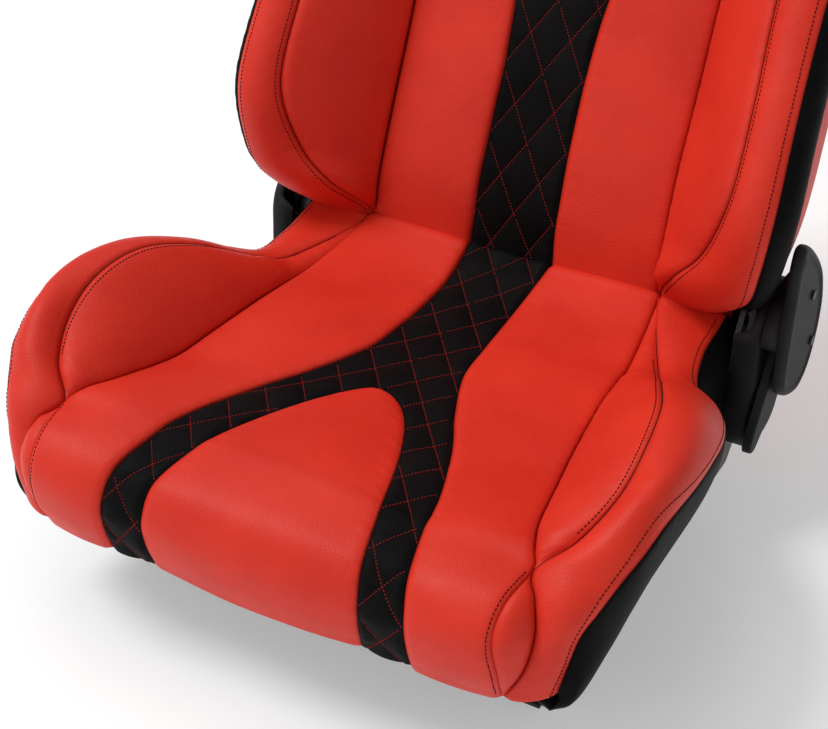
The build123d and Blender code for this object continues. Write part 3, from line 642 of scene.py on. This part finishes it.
def build_base_underside():
    """Dust cloth that closes the seat base from below."""
    at, run = base_rows(0, 14, DUST_CELL)
    foot = smooth(BASE_FOOT, at)
    middle = foot * np.array([0.0, 1, 0]) + np.array([0, 0, 108.0])
    rim = foot * np.array([0.78, 1, 0]) + np.array([0, 0, 107.0])
    inner = Panel(middle, rim, run, DUST_CELL, (0, -50, 150), groove=(0, 0), pucker=0)
    outer = Panel(rim, foot, run, DUST_CELL, (200, -50, 150), groove=(0, 0), pucker=0)
    for side, label in SIDES:
        cover(f"base_dust_cloth_{label}", inner, CLOTH, SEAT, side=side)
        cover(f"base_dust_cloth_edge_{label}", outer, CLOTH, SEAT, side=side)


# Backrest, upright about the pivot. Stations run from the lower roll, up the front, over the head.

BACK_CENTRE = [(0, -12, -27), (0, -25, -17), (0, -30.6, 2), (0, -37, 25), (0, -42, 52), (0, -45, 105),
               (0, -44, 175), (0, -43, 240), (0, -42, 320), (0, -41, 400), (0, -41, 450), (0, -41, 500),
               (0, -44, 548), (0, -57, 600), (0, -65, 655), (0, -58, 700), (0, -36, 722), (0, -8, 724),
               (0, 14, 716), (0, 23, 700)]
BACK_INSERT_HALF = [42, 42, 42, 41, 41, 40, 40, 45, 62, 86, 102, 116, 122, 117, 108, 94, 82, 78, 76, 74]
BACK_CREASE = [(146, -12, -27), (146, -24, -17), (146, -30, 2), (146, -36, 25), (145, -40, 52),
               (144, -42, 105), (144, -40, 175), (144, -40, 240), (145, -40, 320), (148, -38, 400),
               (150, -37, 450), (150, -36, 500), (148, -34, 548), (142, -38, 600), (134, -42, 655),
               (120, -38, 694), (100, -24, 712), (94, -4, 714), (92, 14, 708), (92, 23, 694)]
BACK_CREST = [(147, -12, -27), (147, -24, -17), (149, -31, 4), (173, -82, 26), (199, -103, 54),
              (217, -127, 105), (217, -124, 178), (212, -113, 240), (208, -103, 320), (211, -98, 400),
              (206, -91, 450), (186, -70, 500), (150, -36, 546)]
BACK_EDGE = [(214, -12, -22), (215, -22, -10), (217, -30, 4), (243, -88, 22), (253, -114, 50),
             (259, -134, 103), (256, -130, 176), (253, -120, 240), (252, -110, 320), (258, -104, 400),
             (256, -95, 455), (232, -72, 512), (156, -32, 556)]
BACK_WING = [(214, 0, -18), (215, 0, -4), (219, -6, 12), (241, -46, 34), (254, -70, 58),
             (262, -88, 106), (260, -85, 176), (257, -76, 240), (256, -68, 320), (261, -62, 400),
             (258, -54, 458), (230, -36, 518), (152, -12, 562)]
BACK_REAR = [(206, 10, 20), (210, 16, 26), (214, 24, 34), (224, 30, 50), (232, 30, 70), (237, 30, 110),
             (237, 30, 176), (236, 30, 240), (238, 30, 320), (241, 30, 400), (234, 30, 460),
             (205, 30, 522), (150, 30, 566)]
HEAD_REAR = [(150, 30, 548), (142, 30, 600), (134, 30, 655), (116, 30, 690), (96, 29, 702),
             (92, 28, 700), (92, 28, 698), (92, 28, 694)]
HEAD_TIP_Z = 452
HEAD_TOP_Z = 700
HEAD_SPREAD = 9.2                    # as ISLAND_SPREAD, for the head tongue
HEAD_STATIONS = (9, 15)              # the tongue widens between these stations, then keeps its width
BACK_CORE = (190, 0, 250)
BACK_QUILT = Quilt(39, 65, -21, 169)


def back_half(at):
    """Half widths of the head tongue and the insert."""
    points = smooth(BACK_CENTRE, at)
    first, last = HEAD_STATIONS
    tongue = HEAD_SPREAD * np.sqrt(np.maximum(points[:, 2] - HEAD_TIP_Z, 0))
    tongue = np.where(at > last, HEAD_SPREAD * np.sqrt(HEAD_TOP_Z - HEAD_TIP_Z), tongue)
    tongue = np.where(at < first, 0, tongue)
    insert = smooth([(half,) for half in BACK_INSERT_HALF], at)[:, 0]
    return np.minimum(tongue, insert * 0.72), insert


def build_back_centre(red):
    """Quilted insert, head tongue and plain panels of the backrest."""
    at, run = even_stations(BACK_CENTRE, 0, 19, FINE)
    tongue, insert = back_half(at)
    rails = [at_half(BACK_CENTRE, at, half) for half in (tongue, insert)]
    groove = (PLAIN_SEAM * np.clip(tongue / TONGUE_SEAM_FROM, 0, 1), PLAIN_SEAM)
    halves = [Panel(*rails, run, FINE, (60, 60, 250), groove=groove, relief=BACK_QUILT.relief(side))
              for side, _ in SIDES]
    halves_cover("back_insert", halves, BLACK, BACK, lean, ("back_pad",))
    for panel, (side, _) in zip(halves, SIDES):
        BACK_QUILT.sew(panel, side, red, tongue, insert)
    rows = np.flatnonzero(tongue > TONGUE_TIP_HALF)
    low, high = (at_half(BACK_CENTRE, at[rows], half) for half in (-tongue[rows], tongue[rows]))
    panel = Panel(low, high, run[rows], CELL / 1.5, (0, 60, 600), crown=5.0)
    cover("head_tongue", panel, RED, BACK, lean, 1, ("head_pad",))
    at, run = even_stations(BACK_CENTRE, 0, 19, CELL)
    _, insert = back_half(at)
    panel = Panel(at_half(BACK_CENTRE, at, insert), smooth(BACK_CREASE, at), run, CELL, (100, 60, 250),
                  crown=4.0, groove=(PLAIN_SEAM, DEEP_SEAM))
    for side, label in SIDES:
        cover(f"back_plain_panel_{label}", panel, RED, BACK, lean, side)


def build_back_bolsters(dark):
    """Inner faces, bands, black gussets and rear skins of the backrest."""
    at, run = even_stations(BACK_CREST, 0, 12, CELL)
    rails = [smooth(rail, at) for rail in (BACK_CREASE[:13], BACK_CREST, BACK_EDGE, BACK_WING, BACK_REAR)]
    inner = Panel(rails[0], rails[1], run, CELL, BACK_CORE, crown=7.0, groove=(DEEP_SEAM, PLAIN_SEAM))
    band = Panel(rails[1], rails[2], run, CELL, BACK_CORE, crown=11.0)
    gusset = Panel(rails[2], rails[3], run, CELL, BACK_CORE, crown=9.0, roundness=0.3)
    skin = Panel(rails[3], rails[4], run, CELL, (150, -40, 250), crown=6.0, groove=(1.5, 1.5))
    dark.seam(band, 4.0, first=0.06, last=0.97)
    # Painted shade: the dark lines along both edges of the band stand for the shadow in the seam valleys.
    dark.edge_seam_shade_line(band, False, first=0.06, last=0.99)
    dark.seam(band, 5.5, from_high=True, first=0.05, last=0.97)
    dark.edge_seam_shade_line(band, first=0.05, last=0.99)
    for side, label in SIDES:
        cover(f"back_bolster_inner_{label}", inner, RED, BACK, lean, side,
              (f"back_bolster_{label}",))
        cover(f"back_bolster_band_{label}", band, RED, BACK, lean, side)
        cover(f"back_gusset_{label}", gusset, BLACK, BACK, lean, side,
              (f"back_side_band_{label}",))
        cover(f"back_rear_skin_{label}", skin, RED, BACK, lean, side)


def build_head_sides(dark):
    """Sides of the head rest, from its front edge to the rear cover."""
    at = np.linspace(12, 19, 120)
    front = smooth(BACK_CREASE, at)
    run = lengths(front)
    panel = Panel(front, smooth(HEAD_REAR, at - 12), run, CELL, (0, 0, 620), crown=6.0, groove=(2, 2))
    dark.seam(panel, 5.0, first=0.02, last=0.98)
    for side, label in SIDES:
        cover(f"head_side_{label}", panel, RED, BACK, lean, side)


def build_back_rear(dark):
    """Padded rear cover of the backrest."""
    rear = BACK_REAR[2:] + HEAD_REAR[1:6]
    at, run = even_stations(rear, 0, len(rear) - 1, CELL)
    rim = smooth(rear, at)
    middle = rim * np.array([0, 1, 1])
    panel = Panel(middle, rim, run, 6.0, (100, -40, 300), groove=(0, DEEP_SEAM))
    dark.seam(panel, 6.0, from_high=True)
    for side, label in SIDES:
        cover(f"back_rear_cover_{label}", panel, RED, BACK, lean, side, ("rear_panel",))


# Moulded covers of the recliners

def closed_loop(stations, count=140):
    """Even points on a smooth closed curve through (y, z) stations."""
    wrapped = stations[-2:] + stations + stations[:3]
    dense = smooth(wrapped, np.linspace(2, len(stations) + 2, 1600))
    run = lengths(dense)
    even = np.linspace(0, run[-1], count, endpoint=False)
    return np.stack([np.interp(even, run, dense[:, k]) for k in range(2)], axis=1)


def inset_loop(loop, distance):
    """The loop moved inwards."""
    ahead = np.roll(loop, -2, axis=0) - np.roll(loop, 2, axis=0)
    inward = np.stack([-ahead[:, 1], ahead[:, 0]], axis=1)
    inward /= np.linalg.norm(inward, axis=1, keepdims=True)
    if ((loop.mean(axis=0) - loop) * inward).sum() < 0:
        inward = -inward
    return loop + inward * distance


def moulding(loop, layers):
    """Closed solid from (x, inset) layers of one loop; x may vary along the loop."""
    count = len(loop)
    rings = [np.column_stack([np.broadcast_to(x, (count,)), inset_loop(loop, inset)])
             for x, inset in layers]
    faces = [tuple(range(count))[::-1]]
    for ring in range(len(rings) - 1):
        for k in range(count):
            a, b = ring * count + k, ring * count + (k + 1) % count
            faces.append((a, b, b + count, a + count))
    faces.append(tuple(range((len(rings) - 1) * count, len(rings) * count)))
    return np.vstack(rings), faces


def joined(parts):
    """One vertex list and one face list from several."""
    vertices, faces = [], []
    for points, polygons in parts:
        base = sum(len(block) for block in vertices)
        vertices.append(points)
        faces += [tuple(base + v for v in polygon) for polygon in polygons]
    return np.vstack(vertices), faces


def around_pivot(radius, degrees_from, degrees_to, step):
    """Stations on an arc about the pivot, angles from +Y towards +Z."""
    angles = [radians(angle) for angle in range(degrees_from, degrees_to, step)]
    return [(PIVOT_Y + radius * cos(angle), PIVOT_Z + radius * sin(angle)) for angle in angles]


HOUSING_FACE_X = 252
HOUSING_INNER_X = 227
ARM_SLOT_X = 240                     # the housing's inner edge where the arm passes it
HOUSING_RADIUS = 39
SHIELD_FACE_X = 275
HOUSING_NOSE = [(161, 207), (152, 189), (150, 165), (148, 138), (143, 112), (144, 88), (162, 71),
                (200, 66), (226, 82), (236, 125)]
SHIELD_OUTLINE = [(149, 152), (165, 133), (190, 121), (210, 122), (227, 134), (238, 155), (243, 180),
                  (241, 203), (228, 233), (204, 259), (178, 279), (161, 283), (153, 266), (151, 235),
                  (148, 195)]


def housing_shell():
    """Hollow housing, open towards the seat, with a rounded outer edge."""
    loop = closed_loop(around_pivot(HOUSING_RADIUS, -20, 121, 20) + HOUSING_NOSE)
    slot_from_z = np.interp(loop[:, 0], [160, 178], [190, 135])
    inner_x = np.interp(loop[:, 1] - slot_from_z, [0, 8], [HOUSING_INNER_X, ARM_SLOT_X])
    face = HOUSING_FACE_X
    inside = [(face - 2.5, 7), (face - 4, 4.2), (face - 6, 2.8), (inner_x, 2.5)]
    outside = [(inner_x, 0), (face - 5.5, 0), (face - 3.2, 0.7), (face - 1.4, 2.2), (face - 0.3, 4.4),
               (face, 7)]
    return moulding(loop, inside + outside)


def shield_slab():
    """Thick outer shield with a rolled rim and a shallow step inside it."""
    loop, face = closed_loop(SHIELD_OUTLINE), SHIELD_FACE_X
    rim = [(face - 9, 4), (face - 9, 1.5), (face - 8, 0.2), (face - 5, 0), (face - 2.6, 0.6)]
    rolled = [(face - 0.6, 2.2), (face + 0.9, 4.4), (face + 1.2, 6.4), (face + 0.9, 8), (face, 9.2),
              (face, 14)]
    return moulding(loop, rim + rolled)


def shield_bridge():
    """Ridge between the housing and the shield, above and behind the lever."""
    outer = around_pivot(46, -34, 150, 14)
    front = [(155, 202), (151, 192), (152, 184), (164, 188)]
    inner = around_pivot(23, -34, 160, 14)[::-1]
    loop = np.array(outer + front + inner)
    return moulding(loop, [(HOUSING_FACE_X - 1.5, 0), (SHIELD_FACE_X - 7, 0)])


def build_recliner_covers():
    """Housings on both sides; the lever side also has the shield."""
    left = joined([housing_shell(), shield_bridge(), shield_slab()])
    piece = add_mesh("recliner_cover_left", *left, PLASTIC, SEAT)
    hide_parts("recliner_housing_left", "recliner_shield")
    vertices, faces = housing_shell()
    faces = [face[::-1] for face in faces]
    piece = add_mesh("recliner_cover_right", vertices * np.array([-1, 1, 1]), faces, PLASTIC, SEAT)
    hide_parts("recliner_housing_right")


# Rigid nodes

def finish_cad_nodes():
    """Gives every carried-over node its finish and softens its sharp edges."""
    slots = {row["node"]: row["material_slot"] for row in frame["record"]["subparts"]}
    for name, node in frame["nodes"].items():
        blackened = name == "shield_screws"
        node.data.materials.clear()
        node.data.materials.append(COATED if blackened else BY_SLOT[slots[name]])
        if not node.hide_render:
            edge = node.modifiers.new("edge", "BEVEL")
            edge.width = 0.6 * MM
            edge.segments = 2
            edge.limit_method = "ANGLE"
            edge.angle_limit = radians(40)


# Stage

def build_floor():
    """Plain pale floor."""
    half, z = 6.0, CAD_BOUNDS[0][2] - MM
    corners = [(-half, -half, z), (half, -half, z), (half, half, z), (-half, half, z)]
    mesh = bpy.data.meshes.new("floor")
    mesh.from_pydata(corners, [], [(0, 1, 2, 3)])
    material, _, _, shader = new_material("floor")
    shader.inputs["Base Color"].default_value = (0.76, 0.76, 0.762, 1)
    shader.inputs["Emission Color"].default_value = (1, 1, 1, 1)
    shader.inputs["Emission Strength"].default_value = 0.30
    shader.inputs["Roughness"].default_value = 0.6
    mesh.materials.append(material)
    floor = bpy.data.objects.new("floor", mesh)
    bpy.context.collection.objects.link(floor)


def add_area(name, position, target, size, power):
    """A soft box light aimed at a point."""
    data = bpy.data.lights.new(name, "AREA")
    data.shape = "RECTANGLE"
    data.size, data.size_y = size
    data.energy = power
    light = bpy.data.objects.new(name, data)
    light.location = position
    light.rotation_euler = (Vector(target) - Vector(position)).to_track_quat("-Z", "Y").to_euler()
    bpy.context.collection.objects.link(light)


def build_lights():
    """A bright room, three soft boxes and a broad key light."""
    world = bpy.data.worlds.new("studio")
    world.use_nodes = True
    sky = world.node_tree.nodes["Background"]
    sky.inputs["Color"].default_value = (1, 1, 1, 1)
    sky.inputs["Strength"].default_value = 0.40
    bpy.context.scene.world = world
    add_area("top_box", (-0.7, 0.2, 2.6), (0, 0, 0.2), (1.8, 1.8), 12)
    add_area("side_box", (-2.2, -1.6, 1.6), (0, 0, 0.25), (1.4, 1.4), 9)
    add_area("front_box", (-0.5, -2.7, 1.9), (0, 0, 0.25), (1.4, 1.0), 8)
    data = bpy.data.lights.new("key", "SUN")
    data.energy, data.angle = 1.5, radians(22)
    key = bpy.data.objects.new("key", data)
    key.rotation_euler = Vector((0.9, 0.42, -1.5)).to_track_quat("-Z", "Y").to_euler()
    bpy.context.collection.objects.link(key)


def build_camera():
    """Camera above the seat's front left corner, as in the photograph."""
    azimuth, elevation, roll = radians(29.2), radians(34.0), radians(0.26)
    back = Vector((sin(azimuth) * cos(elevation), -cos(azimuth) * cos(elevation), sin(elevation)))
    right = Vector((0, 0, 1)).cross(back).normalized()
    up = back.cross(right)
    turn = Matrix.Rotation(roll, 3, back)
    data = bpy.data.cameras.new("camera")
    data.sensor_fit = "HORIZONTAL"
    data.sensor_width = 36
    data.lens = 76.7
    camera = bpy.data.objects.new("camera", data)
    axes = Matrix((turn @ right, turn @ up, back)).transposed()
    camera.matrix_world = Matrix.Translation((0.6097, -1.1019, 1.0214)) @ axes.to_4x4()
    bpy.context.collection.objects.link(camera)
    bpy.context.scene.camera = camera


def build_upholstery():
    """All soft pieces and their threads."""
    base_dark = Thread("base_topstitch_and_seam_shade", DARK_THREAD_AND_SEAM_SHADE, SEAT)
    base_red = Thread("base_quilt_stitch", RED_THREAD, SEAT)
    back_dark = Thread("back_topstitch_and_seam_shade", DARK_THREAD_AND_SEAM_SHADE, BACK, lean)
    back_red = Thread("back_quilt_stitch", RED_THREAD, BACK, lean)
    build_base_centre(base_dark, base_red)
    build_base_bolsters(base_dark)
    build_base_underside()
    build_back_centre(back_red)
    build_back_bolsters(back_dark)
    build_head_sides(back_dark)
    build_back_rear(back_dark)
    for stitches in (base_dark, base_red, back_dark, back_red):
        stitches.finish()


build_upholstery()
build_recliner_covers()
finish_cad_nodes()
build_floor()
build_lights()
build_camera()
bpy.context.scene.view_settings.view_transform = "Standard"
